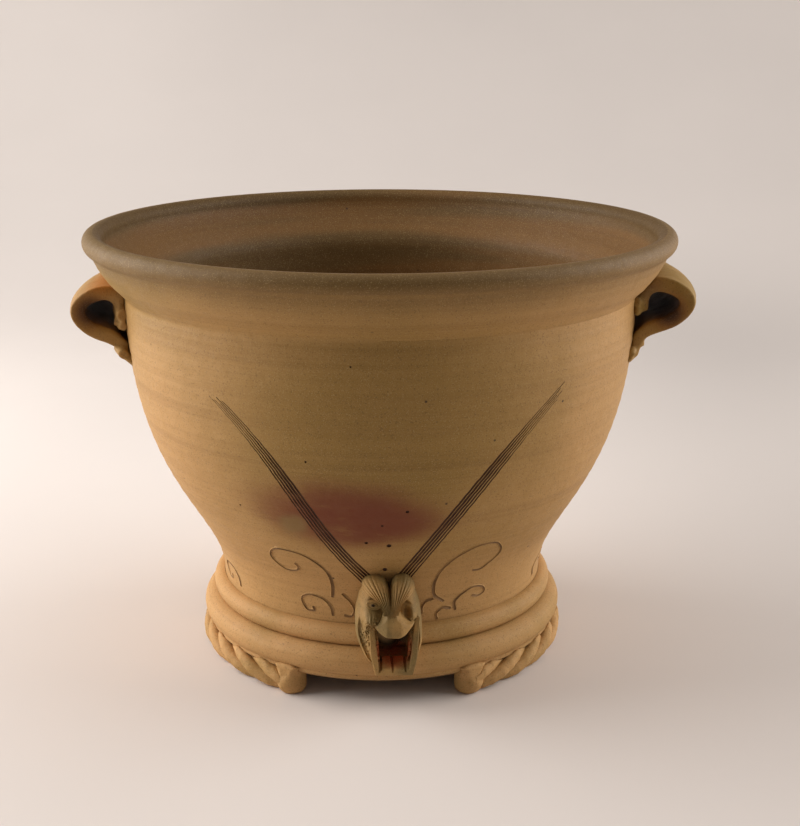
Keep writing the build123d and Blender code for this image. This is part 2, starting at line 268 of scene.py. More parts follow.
def apply_modifier(obj, kind, **settings):
    """Adds a modifier and applies it."""
    select_only(obj)
    modifier = obj.modifiers.new(kind.lower(), kind)
    for key, value in settings.items():
        setattr(modifier, key, value)
    bpy.ops.object.modifier_apply(modifier=modifier.name)


def smooth(obj, degrees=50):
    select_only(obj)
    bpy.ops.object.shade_smooth_by_angle(angle=math.radians(degrees))


def edit_all():
    """Goes into edit mode with the whole mesh selected."""
    bpy.ops.object.mode_set(mode="EDIT")
    bpy.ops.mesh.select_all(action="SELECT")


def tidy_mesh(obj, gap=1e-5):
    """Merges doubles, closes holes and turns every face outwards."""
    select_only(obj)
    edit_all()
    bpy.ops.mesh.remove_doubles(threshold=gap)
    bpy.ops.mesh.fill_holes(sides=0)
    bpy.ops.mesh.normals_make_consistent(inside=False)
    bpy.ops.object.mode_set(mode="OBJECT")


def surface_of(node):
    """The surface of a node of the frame, to feel for with a ray."""
    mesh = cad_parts[node].data
    return BVHTree.FromPolygons([v.co for v in mesh.vertices], [p.vertices for p in mesh.polygons])


def feel(surface, start, way):
    """Point and outward normal where a ray meets the surface."""
    place, normal, index, distance = surface.ray_cast(Vector(start), Vector(way))
    if place is None:
        raise RuntimeError(f"nothing to feel from {start}")
    return place, normal


def run_through(places, count):
    """Evenly spread points on a smooth line through the places."""
    knots = np.array(places, float)
    lengths = np.r_[0, np.cumsum(np.linalg.norm(np.diff(knots, axis=0), axis=1))]
    slopes = np.gradient(knots, lengths, axis=0)
    out = []
    for s in np.linspace(0, lengths[-1], count):
        n = min(int(np.searchsorted(lengths, s, side="right")) - 1, len(knots) - 2)
        span = lengths[n + 1] - lengths[n]
        t = (s - lengths[n]) / span
        out.append(
            (2 * t**3 - 3 * t**2 + 1) * knots[n] + (t**3 - 2 * t**2 + t) * span * slopes[n]
            + (3 * t**2 - 2 * t**3) * knots[n + 1] + (t**3 - t**2) * span * slopes[n + 1]
        )
    return np.array(out)


# Materials


class Glaze:
    """A material in the making: adds nodes and joins them."""

    def __init__(self, name):
        self.material = bpy.data.materials.new(name)
        self.material.use_nodes = True
        self.tree = self.material.node_tree
        self.shader = self.tree.nodes["Principled BSDF"]
        places = self.tree.nodes.new("ShaderNodeTexCoord")
        self.place = places.outputs["Object"]
        self.normal = places.outputs["Normal"]

    def add(self, kind, output=0, settings=None, **sockets):
        node = self.tree.nodes.new(kind)
        for key, value in (settings or {}).items():
            setattr(node, key, value)
        for key, value in sockets.items():
            socket = node.inputs[int(key[1:]) if key[1:].isdigit() else key]
            if isinstance(value, bpy.types.NodeSocket):
                self.tree.links.new(value, socket)
            else:
                socket.default_value = value
        return node.outputs[output]

    def stretched(self, x=1.0, y=1.0, z=1.0, shift=(0, 0, 0)):
        return self.add("ShaderNodeMapping", Vector=self.place, Scale=(x, y, z), Location=shift)

    def noise(self, scale, detail=3.0, rough=0.55, place=None):
        vector = self.place if place is None else place
        return self.add("ShaderNodeTexNoise", Vector=vector, Scale=scale, Detail=detail, Roughness=rough)

    def between(self, value, low, high):
        """0 under low, 1 over high, soft in between."""
        return self.add(
            "ShaderNodeMapRange", settings={"interpolation_type": "SMOOTHSTEP"}, Value=value, _1=low, _2=high
        )

    def maths(self, how, a, b=0.5):
        return self.add("ShaderNodeMath", settings={"operation": how}, _0=a, _1=b)

    def blend(self, share, under, over, how="MIX"):
        """Mixes two colours, each a socket or three numbers."""
        colours = [c if isinstance(c, bpy.types.NodeSocket) else (*c, 1.0) for c in (under, over)]
        return self.add(
            "ShaderNodeMix", output=2, settings={"data_type": "RGBA", "blend_type": how},
            _0=share, _6=colours[0], _7=colours[1],
        )

    def tint(self, colour, where, share, over):
        """Lays a colour over another by a share, where a mask says."""
        return self.blend(self.maths("MULTIPLY", where, share), colour, over)

    def spot(self, middle, reach, ragged=0.25, scale=30.0):
        """1 at a place in metres, falling to 0 at its reach along each axis, with a ragged edge."""
        centred = self.add(
            "ShaderNodeVectorMath", settings={"operation": "SUBTRACT"}, _0=self.place, _1=middle
        )
        shares = self.add(
            "ShaderNodeVectorMath", settings={"operation": "DIVIDE"}, _0=centred, _1=reach
        )
        far = self.add("ShaderNodeVectorMath", output=1, settings={"operation": "LENGTH"}, _0=shares)
        wobble = self.maths("MULTIPLY", self.maths("SUBTRACT", self.noise(scale), 0.5), 2 * ragged)
        return self.between(self.maths("ADD", far, wobble), 1.0, 0.35)

    def speckle(self, colour, pale=0.5, dark=0.8):
        """Grog: fine pale grains, rare dark iron specks and soft mottling."""
        grain = self.noise(1700.0, 1.0)
        grains = self.maths("MULTIPLY", self.between(grain, 0.58, 0.70), pale)
        colour = self.blend(grains, colour, (0.52, 0.37, 0.16))
        shade = self.noise(900.0, 2.0)
        shades = self.maths("MULTIPLY", self.between(shade, 0.56, 0.70), 0.4)
        colour = self.blend(shades, colour, (0.10, 0.055, 0.02))
        cells = self.add("ShaderNodeTexVoronoi", Vector=self.place, Scale=70.0, Randomness=1.0)
        rare = self.add("ShaderNodeTexVoronoi", output=1, Vector=self.place, Scale=70.0, Randomness=1.0)
        red = self.add("ShaderNodeSeparateColor", _0=rare)
        speck = self.maths("MULTIPLY", self.between(cells, 0.075, 0.045), self.between(red, 0.80, 0.84))
        return self.blend(self.maths("MULTIPLY", speck, dark), colour, (0.035, 0.018, 0.010))

    def fired(self, colour, rough=0.62, peel=0.14, lump=0.25):
        """Sends the colour to the shader, with orange peel and a dull salt sheen."""
        self.tree.links.new(colour, self.shader.inputs["Base Color"])
        dull = self.add("ShaderNodeMapRange", Value=self.noise(220.0, 3.0), _3=rough - 0.1, _4=rough + 0.14)
        self.tree.links.new(dull, self.shader.inputs["Roughness"])
        self.shader.inputs["Specular IOR Level"].default_value = 0.32
        fine = self.noise(1100.0, 2.0)
        coarse = self.noise(330.0, 3.0)
        height = self.maths("ADD", self.maths("MULTIPLY", fine, 0.6), coarse)
        bump = self.add("ShaderNodeBump", Strength=peel, Distance=0.0012, Height=height)
        soft = self.add(
            "ShaderNodeBump", Strength=lump, Distance=0.003, Height=self.noise(60.0, 2.0), Normal=bump
        )
        self.tree.links.new(soft, self.shader.inputs["Normal"])
        return self.material


def wheel_bands(glaze, colour, strength=0.35):
    """Faint level bands that the turning wheel leaves in the colour."""
    level = glaze.noise(1.0, 4.0, 0.6, glaze.stretched(2.0, 2.0, 90.0))
    fine = glaze.noise(1.0, 2.0, 0.6, glaze.stretched(3.0, 3.0, 520.0))
    both = glaze.maths("ADD", glaze.maths("MULTIPLY", level, 0.6), glaze.maths("MULTIPLY", fine, 0.4))
    share = glaze.maths("MULTIPLY", glaze.between(both, 0.42, 0.68), strength)
    return glaze.blend(share, colour, (0.62, 0.56, 0.48), "MULTIPLY")


def bowl_clay(colours):
    glaze = Glaze("bowl_clay")
    drift = glaze.between(glaze.noise(5.0, 3.0), 0.42, 0.6)
    colour = glaze.blend(drift, colours.tan, colours.olive)
    elsewhere = glaze.stretched(1.0, 1.0, 1.0, (3.0, 1.0, 2.0))
    warm = glaze.between(glaze.noise(4.0, 2.0, 0.5, elsewhere), 0.45, 0.62)
    colour = glaze.tint(colour, warm, 0.45, colours.orange)
    toasted = glaze.spot((0.0, 0.0, 0.055), (0.5, 0.5, 0.075), 0.12, 9.0)
    colour = glaze.tint(colour, toasted, 0.6, colours.orange)
    # Painted light: the flanks that face the side lamps are painted lighter orange
    for side in (-1, 1):
        painted_lit_flank = glaze.spot((side * 0.16, -0.05, 0.17), (0.075, 0.16, 0.12), 0.2, 7.0)
        colour = glaze.tint(colour, painted_lit_flank, 0.7, colours.orange)
    # Painted shade: the front between the lit flanks is painted darker olive
    front = glaze.spot((0.01, -0.17, 0.20), (0.13, 0.15, 0.12), 0.2, 8.0)
    colour = glaze.tint(colour, front, 0.65, colours.olive)
    rim = glaze.spot((0.0, 0.0, 0.305), (0.6, 0.6, 0.040), 0.12, 12.0)
    colour = glaze.tint(colour, rim, 0.82, colours.ash)
    level = glaze.add(
        "ShaderNodeVectorMath", settings={"operation": "MULTIPLY"}, _0=glaze.place, _1=(1.0, 1.0, 0.0)
    )
    outwards = glaze.add(
        "ShaderNodeVectorMath", output=1, settings={"operation": "DOT_PRODUCT"}, _0=level, _1=glaze.normal
    )
    inside = glaze.between(outwards, 0.0, -0.03)
    rings = glaze.between(glaze.noise(1.0, 2.0, 0.5, glaze.stretched(3.0, 3.0, 40.0)), 0.42, 0.6)
    burnt = glaze.blend(rings, (0.108, 0.056, 0.012), (0.17, 0.075, 0.015))
    colour = glaze.tint(colour, inside, 0.93, burnt)
    colour = wheel_bands(glaze, colour)
    colour = glaze.speckle(colour, 0.4)
    streaks = glaze.noise(1.0, 5.0, 0.6, glaze.stretched(16.0, 16.0, 50.0))
    for middle, reach, share in (
        ((-0.042, -0.145, 0.146), (0.062, 0.10, 0.026), 0.4),
        ((-0.015, -0.150, 0.138), (0.078, 0.10, 0.034), 0.75),
        ((-0.006, -0.152, 0.135), (0.056, 0.10, 0.024), 0.8),
    ):
        flash = glaze.spot(middle, reach, 0.22, 14.0)
        torn = glaze.maths("MULTIPLY", flash, glaze.between(streaks, 0.18, 0.48))
        colour = glaze.tint(colour, torn, share, colours.flash)
    smudge = glaze.spot((-0.052, -0.140, 0.130), (0.014, 0.04, 0.012), 0.4, 60.0)
    colour = glaze.tint(colour, smudge, 0.7, colours.grey)
    # Painted shade: near-black in the throat behind the mask's mouth
    throat = glaze.spot((0.008, -0.116, 0.047), (0.022, 0.016, 0.018), 0.1, 60.0)
    colour = glaze.blend(throat, colour, colours.painted_shade)
    return glaze.fired(colour)


def ring_clay(colours):
    glaze = Glaze("ring_clay")
    drift = glaze.between(glaze.noise(9.0, 3.0), 0.46, 0.70)
    colour = glaze.blend(drift, colours.orange, colours.tan)
    front = glaze.spot((0.02, -0.12, 0.03), (0.08, 0.06, 0.06), 0.3, 12.0)
    colour = glaze.tint(colour, front, 0.1, colours.olive)
    colour = wheel_bands(glaze, colour, 0.3)
    # Painted shade: the ring's underside, below about 19 mm, is darkened near-black where it meets the feet
    under = glaze.spot((0.0, 0.0, 0.009), (0.5, 0.5, 0.0105), 0.1, 60.0)
    colour = glaze.tint(colour, under, 0.75, colours.painted_shade)
    # Painted shade: near-black where the ring lies in the throat behind the mouth
    throat = glaze.spot((0.0088, -0.121, 0.050), (0.0155, 0.022, 0.024), 0.05, 60.0)
    colour = glaze.blend(throat, colour, colours.painted_shade)
    glow = glaze.spot((0.0088, -0.128, 0.038), (0.0150, 0.0180, 0.0075), 0.1, 90.0)
    colour = glaze.tint(colour, glow, 0.7, colours.ember)
    return glaze.fired(glaze.speckle(colour), 0.66)


def handle_clay(colours):
    glaze = Glaze("handle_clay")
    drift = glaze.between(glaze.noise(22.0, 3.0), 0.40, 0.62)
    colour = glaze.blend(drift, colours.tan, colours.olive)
    # Painted shade: each curl's hole is painted brown, and near-black deeper in, where the tunnel lies in
    # shade
    for side in (-1, 1):
        for reach, brown in ((0.0185, (0.26, 0.105, 0.024)), (0.0135, colours.painted_shade)):
            inside = glaze.spot((side * 0.191, 0.0, 0.247), (reach, 0.2, reach), 0.1, 40.0)
            colour = glaze.tint(colour, inside, 0.92, brown)
    # Painted shade: the top of the left strap under the rim is painted darker orange-brown
    under_rim_shade = glaze.spot((-0.182, 0.0, 0.268), (0.022, 0.2, 0.014), 0.25, 40.0)
    colour = glaze.tint(colour, under_rim_shade, 0.9, (0.42, 0.155, 0.018))
    # Partly ash and partly painted shade: dark brown where the right strap's top meets the bowl
    ash_and_shade = glaze.spot((0.176, 0.0, 0.264), (0.016, 0.2, 0.015), 0.25, 40.0)
    colour = glaze.tint(colour, ash_and_shade, 0.6, (0.16, 0.075, 0.020))
    return glaze.fired(glaze.speckle(colour, 0.15), 0.66)


def foot_clay(colours):
    glaze = Glaze("foot_clay")
    drift = glaze.between(glaze.noise(28.0, 3.0), 0.42, 0.66)
    colour = glaze.blend(drift, colours.orange, colours.tan)
    return glaze.fired(glaze.speckle(colour), 0.7, 0.2, 0.35)


def mask_clay(colours):
    glaze = Glaze("mask_clay")
    drift = glaze.between(glaze.noise(45.0, 3.0), 0.38, 0.62)
    colour = glaze.blend(drift, colours.grey, colours.tan)
    glow = glaze.spot((0.0088, -0.1335, 0.0440), (0.0165, 0.0150, 0.0180), 0.15, 90.0)
    colour = glaze.blend(glow, colour, colours.ember)
    # Painted shade: darker brown round the eye, in its hollow under the brow
    socket = glaze.spot((-0.0035, -0.1345, 0.0758), (0.0062, 0.0048, 0.0046), 0.1, 200.0)
    colour = glaze.tint(colour, socket, 0.45, (0.11, 0.055, 0.018))
    # Painted shade: near-black in the pressed-in pupil
    pupil = glaze.spot((-0.0038, -0.1385, 0.0760), (0.0019, 0.0060, 0.0016), 0.05, 200.0)
    colour = glaze.blend(pupil, colour, colours.painted_shade)
    # Painted shade: near-black in the mask's throat behind the mouth
    throat = glaze.spot((0.0088, -0.118, 0.052), (0.0150, 0.0165, 0.019), 0.12, 90.0)
    colour = glaze.blend(throat, colour, colours.painted_shade)
    return glaze.fired(glaze.speckle(colour, 0.25, 0.5), 0.66, 0.2, 0.3)


def groove_clay(colours):
    glaze = Glaze("groove_clay")
    drift = glaze.between(glaze.noise(120.0, 3.0), 0.4, 0.65)
    colour = glaze.blend(drift, (0.060, 0.020, 0.008), (0.10, 0.040, 0.014))
    deep = glaze.spot((0.0, -0.15, 0.10), (0.3, 0.2, 0.17), 0.1, 20.0)
    colour = glaze.blend(deep, (0.15, 0.08, 0.028), colour)
    return glaze.fired(colour, 0.5)


def line_clay(colours):
    glaze = Glaze("line_clay")
    drift = glaze.between(glaze.noise(90.0, 3.0), 0.4, 0.65)
    colour = glaze.blend(drift, (0.27, 0.145, 0.050), (0.17, 0.085, 0.028))
    return glaze.fired(colour, 0.6)


# Pieces


def bowl_profile(sizes):
    """The bowl's section from the frame: up the outside, over the rim and down the inside."""
    surface = surface_of("bowl")
    low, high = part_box("bowl")
    rim = high.z - sizes.rim_roll
    reach = high.x - sizes.rim_roll
    outer = []
    for z in np.arange(low.z + 2 * MM, rim - 0.97 * sizes.rim_roll, WALL_STEP):
        outer.append((feel(surface, (OUTSIDE, 0, z), (-1, 0, 0))[0].x, z))
    foot = outer[0][0]
    roll = []
    for degrees in ROLL_TURNS:
        turn = math.radians(degrees)
        roll.append((reach + sizes.rim_roll * math.cos(turn), rim + sizes.rim_roll * math.sin(turn)))
    floor = feel(surface, (0.02, 0, 0.2), (0, 0, -1))[0].z
    inner = []
    rise = rim - 0.45 * sizes.rim_roll - floor
    for share in np.linspace(1, 0.02, INSIDE_POINTS) ** 1.25:
        z = floor + share * rise
        inner.append((feel(surface, (0, 0, z), (1, 0, 0))[0].x, z))
    base = [(0, low.z), (foot - 1.2 * MM, low.z), (foot, low.z + 1.0 * MM)]
    return base + outer + roll + inner + [(0.6 * inner[-1][0], floor), (0, floor)]


def throw_bowl(sizes):
    """Spins the bowl's section round its axis and leaves the fingers' ridges on it."""
    profile = [(r, 0, z) for r, z in bowl_profile(sizes)]
    mesh = bpy.data.meshes.new("bowl_body")
    mesh.from_pydata(profile, [(n, n + 1) for n in range(len(profile) - 1)], [])
    bowl = bpy.data.objects.new("bowl_body", mesh)
    bpy.context.collection.objects.link(bowl)
    select_only(bowl)
    edit_all()
    bpy.ops.mesh.spin(steps=sizes.segments, angle=2 * math.pi, center=(0, 0, 0), axis=(0, 0, 1))
    bpy.ops.object.mode_set(mode="OBJECT")
    tidy_mesh(bowl)
    count = len(mesh.vertices)
    co = np.empty(3 * count)
    mesh.vertices.foreach_get("co", co)
    co = co.reshape(-1, 3)
    radius = np.hypot(co[:, 0], co[:, 1])
    turn = np.arctan2(co[:, 1], co[:, 0])
    ridge = np.sin(2 * np.pi * co[:, 2] / sizes.ridge_pitch + turn) + 0.6 * np.sin(
        2 * np.pi * co[:, 2] / (0.37 * sizes.ridge_pitch) + 2 * turn + 1.3
    )
    steady = np.clip((co[:, 2] - RIDGES_FROM) / (20 * MM), 0, 1)
    steady *= np.clip((RIDGES_TO - co[:, 2]) / (8 * MM), 0, 1)
    wobble = sizes.ridge_height * ridge * steady
    scale = np.where(radius > 1 * MM, 1 + wobble / np.maximum(radius, 1 * MM), 1)
    co[:, 0] *= scale
    co[:, 1] *= scale
    mesh.vertices.foreach_set("co", co.ravel())
    mesh.update()
    return bowl


def wall_line(surface, places, lifts):
    """Points over the wall, each a place of turn and height, lifted along the wall's normal."""
    points = []
    for (degrees, height), lift in zip(places, lifts):
        turn = math.radians(degrees)
        out = Vector((math.sin(turn), -math.cos(turn), 0))
        place, normal = feel(surface, out * OUTSIDE + Vector((0, 0, height * MM)), -out)
        points.append(place + normal * lift)
    return points


def tube(name, points, radii, sides=2):
    """A closed tube through the points."""
    curve = bpy.data.curves.new(name, "CURVE")
    curve.dimensions = "3D"
    curve.bevel_depth = 1.0
    curve.bevel_resolution = sides
    curve.use_fill_caps = True
    line = curve.splines.new("POLY")
    line.points.add(len(points) - 1)
    for knot, point, radius in zip(line.points, points, radii):
        knot.co = (*point, 1.0)
        knot.radius = radius
    obj = bpy.data.objects.new(name, curve)
    bpy.context.collection.objects.link(obj)
    select_only(obj)
    bpy.ops.object.convert(target="MESH")
    obj = bpy.context.object
    tidy_mesh(obj, 1e-6)
    return obj


def joined(name, objs):
    select_only(*objs)
    bpy.ops.object.join()
    objs[0].name = objs[0].data.name = name
    return objs[0]


def carve(body, tool, how="DIFFERENCE"):
    """Cuts a tool out of a body, or adds it, and throws the tool away.

    Where the cut loses the body, it is made again with the tool a hair aside.
    """
    whole = body.data.copy()
    home = tool.location.copy()
    for hair in HAIRS:
        tool.location = home + Vector((hair, hair, -hair)) * MM
        apply_modifier(body, "BOOLEAN", operation=how, solver="EXACT", object=tool)
        if len(body.data.polygons) > LEAST_LEFT * len(whole.polygons):
            bpy.data.objects.remove(tool)
            return
        body.data = whole.copy()
    raise RuntimeError(f"{tool.name} left too little of {body.name}")


def comb_tools(surface, sizes):
    """Cutters for the two strokes of the comb."""
    tools = []
    for hand, places in ((1, LEFT_COMB), (-1, RIGHT_COMB)):
        line = run_through(places, COMB_POINTS)
        middle = (sizes.comb_teeth - 1) / 2
        for tooth in range(sizes.comb_teeth):
            share = np.linspace(0, 1, len(line))
            spread = (0.55 + 0.45 * np.minimum(1, 2.2 * share)) * sizes.comb_pitch / MM
            across = (tooth - middle) * spread
            slope = np.gradient(line, axis=0)
            wide = np.interp(line[:, 1], WALL_HEIGHTS, WALL_RADII) * math.pi / 180
            run = slope * np.c_[wide, np.ones(len(line))]
            run /= np.linalg.norm(run, axis=1)[:, None]
            shifted = line + np.c_[-run[:, 1] / wide, run[:, 0]] * across[:, None]
            late = 0.02 + 0.05 * ((tooth * 7) % 5) / 5
            keep = share >= late
            strong = 1 - 0.12 * abs(hand * (tooth - middle) - 1)
            depth = sizes.comb_depth * strong * np.clip((share[keep] - late) / 0.35, 0.38, 1)
            points = wall_line(surface, shifted[keep], np.zeros(len(depth)))
            tools.append(tube(f"comb_{hand}_{tooth}", points, depth))
    return tools


def scroll_tools(surface, sizes, grow, lift):
    """Tubes along the scrolls of the front, with the small ones again at the sides and the back.

    With a lift they are burrs that stand out from the wall by it, and without one they are cutters.
    """
    turned = dict(SCROLLS)
    for source, turns in REPEATS:
        for turn in turns:
            turned[f"{source}_{turn}"] = [(degrees + turn, height) for degrees, height in SCROLLS[source]]
    tools = []
    for name, places in turned.items():
        line = run_through(places, 6 * len(places))
        share = np.linspace(0, 1, len(line))
        body = 0.75 + 0.8 * np.exp(-((share - 0.16) / 0.16) ** 2) + 0.35 * np.exp(-((share - 1) / 0.06) ** 2)
        depth = sizes.scroll_depth * (0.7 + 0.4 * np.exp(-((share - 0.15) / 0.2) ** 2))
        radius = (body + grow) * MM
        points = wall_line(surface, line, radius - depth if lift is None else lift - radius)
        tools.append(tube(f"scroll_{name}", points, radius))
    tool = joined("scrolls", tools)
    if lift:
        apply_modifier(tool, "REMESH", mode="VOXEL", voxel_size=BURR_GRAIN)
    return tool


def coloured(tool, body, index):
    """A cutter whose cuts take the body's material of that number."""
    for material in body.data.materials:
        tool.data.materials.append(material)
    tool.data.polygons.foreach_set("material_index", [index] * len(tool.data.polygons))
    return tool


class PLANTER_OT_bowl(bpy.types.Operator):
    """Throws the bowl, combs the V, cuts the scrolls and bores the drain"""

    bl_idname = "planter.bowl"
    bl_label = "Bowl"

    def execute(self, context):
        sizes = context.scene.planter_sizes
        colours = context.scene.planter_colours
        surface = surface_of("bowl")
        bowl = throw_bowl(sizes)
        for clay in (bowl_clay, groove_clay, line_clay):
            bowl.data.materials.append(clay(colours))
        carve(bowl, coloured(scroll_tools(surface, sizes, BURR_WIDTH, BURR_HEIGHT), bowl, 0), "UNION")
        carve(bowl, coloured(scroll_tools(surface, sizes, 0.0, None), bowl, 2))
        carve(bowl, coloured(joined("combs", comb_tools(surface, sizes)), bowl, 1))
        places = wall_line(surface, PITS, [0] * len(PITS))
        pits = [ball(place, (size * MM,) * 3) for size, place in zip(PIT_SIZES, places)]
        carve(bowl, coloured(joined("pits", pits), bowl, 1))
        bpy.ops.object.select_all(action="DESELECT")
        out = Vector((math.sin(sizes.mask_turn), -math.cos(sizes.mask_turn), 0))
        bpy.ops.mesh.primitive_cylinder_add(
            vertices=48, radius=sizes.drain_radius, depth=DRAIN_CUT,
            location=out * DRAIN_MIDDLE + Vector((0, 0, sizes.drain_height)),
            rotation=(math.pi / 2, 0, sizes.mask_turn),
        )
        carve(bowl, bpy.context.object)
        smooth(bowl, SHARP_TURN)
        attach(bowl, "root")
        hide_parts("bowl")
        return {"FINISHED"}


class PLANTER_OT_rings(bpy.types.Operator):
    """Fires the foot ring and the coil round the waist"""

    bl_idname = "planter.rings"
    bl_label = "Rings"

    def execute(self, context):
        clay = ring_clay(context.scene.planter_colours)
        for node in ("foot_ring", "waist_coil"):
            dress(node, clay)
        return {"FINISHED"}


def softened(node, name, voxel, rounds, lump, swell=0.0, wads=(), lining=None, tail=0.0):
    """A copy of a node with its edges worn round as wet clay leaves them, with wads of clay pressed on.

    A lining thickens a curl inwards: its middle across and up, and how near to it the copy is drawn.
    Under the height of the tail the clay is pressed in against the wall.
    """
    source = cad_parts[node]
    obj = bpy.data.objects.new(name, source.data.copy())
    bpy.context.collection.objects.link(obj)
    tidy_mesh(obj, 2e-6)
    if lining:
        middle, share = lining
        inner = bpy.data.objects.new(name, obj.data.copy())
        bpy.context.collection.objects.link(inner)
        for v in inner.data.vertices:
            v.co.x = middle[0] + share * (v.co.x - middle[0])
            v.co.y *= LINING_WIDTH
            v.co.z = middle[1] + share * (v.co.z - middle[1])
        wads = [inner, *wads]
    obj = joined(name, [obj, *wads])
    apply_modifier(obj, "REMESH", mode="VOXEL", voxel_size=voxel)
    apply_modifier(obj, "SMOOTH", factor=0.5, iterations=rounds)
    lumps = bpy.data.textures.get("lumps") or bpy.data.textures.new("lumps", "CLOUDS")
    lumps.noise_scale = LUMP_SIZE
    apply_modifier(
        obj, "DISPLACE", texture=lumps, strength=lump,
        mid_level=0.5 - swell / lump, texture_coords="LOCAL",
    )
    for v in obj.data.vertices:
        v.co.z = max(v.co.z, 0.0)
        fall = max(0.0, (tail - v.co.z) / TAIL_REACH)
        v.co.x *= 1 - TAIL_PRESS * fall**2
    select_only(obj)
    bpy.ops.object.shade_smooth()
    return obj


def wall_wads(surface, side, reach, rolls):
    """Rolls of clay that seat a handle on the wall, each a height, a lift off the wall and a radius in mm."""
    wads = []
    for height, lift, radius in rolls:
        half = math.degrees(math.asin(min(0.9, reach / WALL_AT_HANDLES)))
        turns = np.linspace(-half, half, SEAT_POINTS)
        places = [(side * 90 + turn, height + 1.2 * math.sin(turn * 1.9 + height)) for turn in turns]
        ends = np.clip((half - np.abs(turns)) / (0.15 * half), 0.75, 1)
        radii = radius * MM * (1 + 0.12 * np.sin(turns * 1.3 + height)) * ends
        wads.append(tube("wad", wall_line(surface, places, np.full(SEAT_POINTS, lift * MM)), radii, 4))
    return wads


class PLANTER_OT_handles(bpy.types.Operator):
    """Curls the two strap handles and luts their ends to the wall"""

    bl_idname = "planter.handles"
    bl_label = "Handles"

    def execute(self, context):
        clay = handle_clay(context.scene.planter_colours)
        surface = surface_of("bowl")
        for side, name in ((-1, "left"), (1, "right")):
            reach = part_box(f"{name}_handle")[1].y - SEAT_INSET
            wads = wall_wads(surface, side, reach, SEAT_ROLLS[side])
            strap = softened(
                f"{name}_handle", f"{name}_strap", 0.9 * MM, 9, 0.5 * MM, wads=wads,
                lining=(CURLS[side], LINING), tail=TAIL_TOP,
            )
            finished(strap, "handle_clay", clay, f"{name}_handle")
        return {"FINISHED"}


def ball(place, radii, turn=0.0):
    """A ball of clay pressed to three radii, its first radius along the turn."""
    bpy.ops.object.select_all(action="DESELECT")
    bpy.ops.mesh.primitive_uv_sphere_add(segments=24, ring_count=16, radius=1)
    obj = bpy.context.object
    for v in obj.data.vertices:
        x, y, z = (v.co[n] * radii[n] for n in range(3))
        v.co = (
            place[0] + x * math.cos(turn) - y * math.sin(turn),
            place[1] + x * math.sin(turn) + y * math.cos(turn),
            place[2] + z,
        )
    return obj


def toe_wads(node):
    """The knob, its web up to the ring and the smear over the ring's edge."""
    low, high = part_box(node)
    middle = (low + high) / 2
    turn = math.atan2(middle.y, middle.x)
    away = Vector((math.cos(turn), math.sin(turn), 0))
    centre = Vector((middle.x, middle.y, 0))
    return [
        ball(centre + away * out * MM + Vector((0, 0, up * MM)), tuple(radius * MM for radius in radii), turn)
        for out, up, radii in TOE_BALLS
    ]


class PLANTER_OT_feet(bpy.types.Operator):
    """Wears the rope feet round and thumbs their knobs"""

    bl_idname = "planter.feet"
    bl_label = "Rope feet"

    def execute(self, context):
        clay = foot_clay(context.scene.planter_colours)
        for node in sorted(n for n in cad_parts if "_foot_" in n):
            wads = toe_wads(node) if node.endswith("_toe") else ()
            obj = softened(node, f"{node}_clay", 0.6 * MM, 6, 0.9 * MM, 0.35 * MM, wads)
            finished(obj, "foot_clay", clay, node)
        return {"FINISHED"}


# Outlines of the mask's pieces, mm across from its middle and up from the ground
FACE_OUTLINE = (
    (1.0, 80.0), (8.7, 87.0), (14.0, 85.0), (17.0, 81.5), (19.2, 75.0), (21.1, 68.0), (21.9, 61.0),
    (22.2, 53.2),
    (21.8, 44.1), (19.3, 36.4), (14.5, 30.0), (9.0, 27.6), (3.0, 27.0), (-3.0, 27.4), (-7.6, 28.8),
    (-12.8, 33.2),
    (-17.3, 42.1), (-20.4, 51.9), (-21.0, 60.4), (-19.6, 71.0), (-17.6, 79.0), (-15.0, 84.0), (-7.0, 87.0),
    (1.0, 80.0),
)
MOUTH_OUTLINE = (
    (-8.6, 60.0), (-7.0, 56.0), (-6.0, 46.0), (-5.4, 35.0), (12.2, 35.0), (13.0, 46.0), (14.6, 56.0),
    (16.4, 61.6),
    (9.0, 62.5), (-2.0, 62.0),
)
MUZZLE_OUTLINE = (
    (1.8, 77.0), (-1.2, 73.5), (-4.8, 67.8), (-9.8, 62.2), (-7.2, 58.6), (-3.8, 56.4), (1.5, 55.3),
    (6.8, 55.3),
    (11.6, 57.0), (14.6, 60.0), (17.0, 63.4), (12.8, 65.6), (8.4, 69.2), (5.0, 73.8), (1.8, 77.0),
)
BROWS = {
    "left": (
        ((-15.4, 80.6), (-16.6, 84.8), (-14.8, 89.0), (-8.4, 91.7), (-3.0, 90.0), (-0.2, 86.2), (2.0, 81.0)),
        ((-2.9, 71.4), (2.8, 71.4)),
    ),
    "right": (
        ((17.0, 78.8), (17.6, 83.0), (15.4, 88.0), (10.6, 92.0), (5.6, 91.4), (2.8, 87.6), (0.8, 82.0)),
        ((6.4, 71.6), (1.2, 71.6)),
    ),
}


# How far out from the bowl's axis the mask's pieces start and end, in mm
FACE_OUT, FACE_BACK = 131.0, 107.0
MUZZLE_OUT, MUZZLE_BACK = 141.0, 126.0
BROW_OUT, BROW_BACK = 146.0, 122.0
EYE_OUT = 137.8
MOUTH_OUT = 160.0
MOUTH_DEPTH = 60 * MM
FACE_CENTRE = (0.8, 60.0)
MUZZLE_CENTRE = (3.6, 65.5)
EYE_CENTRE = (-9.2, 75.8)
EYE_TILT = math.radians(-14)
FLUTES = 11.5

# The scoop's slots: where each starts in the throat and ends at the lip, in mm across and up
SLOTS = (((-5.0, 41.0), (-4.8, 33.0)), ((1.7, 41.5), (2.8, 33.5)), ((9.4, 41.5), (11.6, 33.5)))


